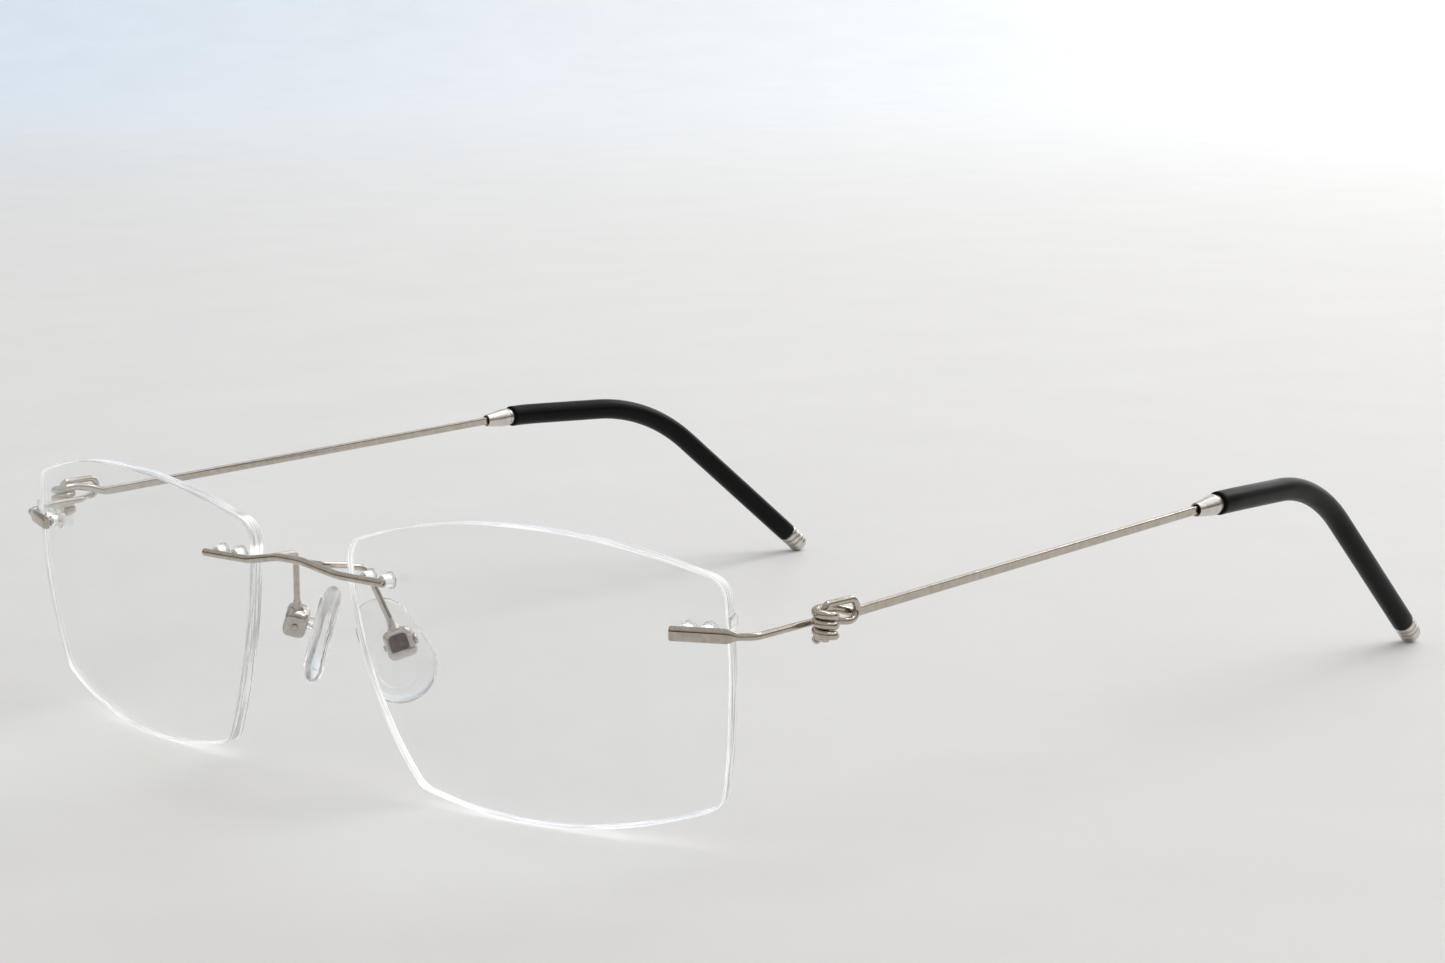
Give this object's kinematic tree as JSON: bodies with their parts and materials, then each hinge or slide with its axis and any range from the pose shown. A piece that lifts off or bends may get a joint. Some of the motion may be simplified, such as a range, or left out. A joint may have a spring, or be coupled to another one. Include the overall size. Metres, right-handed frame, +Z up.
{
  "type": "rimless eyeglasses",
  "caption": "Rimless eyeglasses with clear drilled lenses, a silver wire bridge, clear rocking nose pads, wire-coil hinges and flat wire temples with black sleeves and metal tip caps.",
  "frame": {"origin": "centre of the bounding box at floor level, with the temples open", "axes": "+Z up, -Y the front that faces away from the wearer, +X the wearer's left"},
  "size_m": [0.1424, 0.159, 0.0359],
  "materials": {
    "clear_lens": "polished",
    "clear_bush": "clear",
    "clear_silicone": "clear",
    "titanium_wire": "polished",
    "cast_metal": "polished",
    "turned_metal": "satin",
    "black_sleeve": "satin"
  },
  "bodies": {
    "front": {"left_lens": "clear_lens", "right_lens": "clear_lens", "bridge_wire": "titanium_wire", "pad_arm_yoke": "titanium_wire", "left_bridge_bushes": "clear_bush", "right_bridge_bushes": "clear_bush", "left_temple_bushes": "clear_bush", "right_temple_bushes": "clear_bush", "left_end_piece": "titanium_wire", "right_end_piece": "titanium_wire", "left_pad_box": "cast_metal", "right_pad_box": "cast_metal", "left_pad_screw": "cast_metal", "right_pad_screw": "cast_metal"},
    "left_temple": {"left_temple_wire": "titanium_wire", "left_collar": "turned_metal", "left_sleeve": "black_sleeve", "left_tip_cap": "turned_metal"},
    "right_temple": {"right_temple_wire": "titanium_wire", "right_collar": "turned_metal", "right_sleeve": "black_sleeve", "right_tip_cap": "turned_metal"},
    "left_pad": {"left_pad_lug": "clear_silicone", "left_nose_pad": "clear_silicone"},
    "right_pad": {"right_pad_lug": "clear_silicone", "right_nose_pad": "clear_silicone"}
  },
  "joints": [
    {"name": "left_temple_fold", "type": "hinge", "parent": "front", "child": "left_temple", "pos_m": [0.0696, -0.06022, 0.02636], "axis": [0, 0, 1], "range_deg": [0, 86]},
    {"name": "right_temple_fold", "type": "hinge", "parent": "front", "child": "right_temple", "pos_m": [-0.0696, -0.06022, 0.02636], "axis": [0, 0, -1], "range_deg": [0, 78]},
    {"name": "left_pad_rock", "type": "hinge", "parent": "front", "child": "left_pad", "pos_m": [0.0103, -0.06972, 0.01796], "axis": [0.6367, 0.7072, 0.3074], "range_deg": [-8, 8]},
    {"name": "right_pad_rock", "type": "hinge", "parent": "front", "child": "right_pad", "pos_m": [-0.0103, -0.06972, 0.01796], "axis": [-0.6367, 0.7072, 0.3074], "range_deg": [-8, 8]}
  ]
}
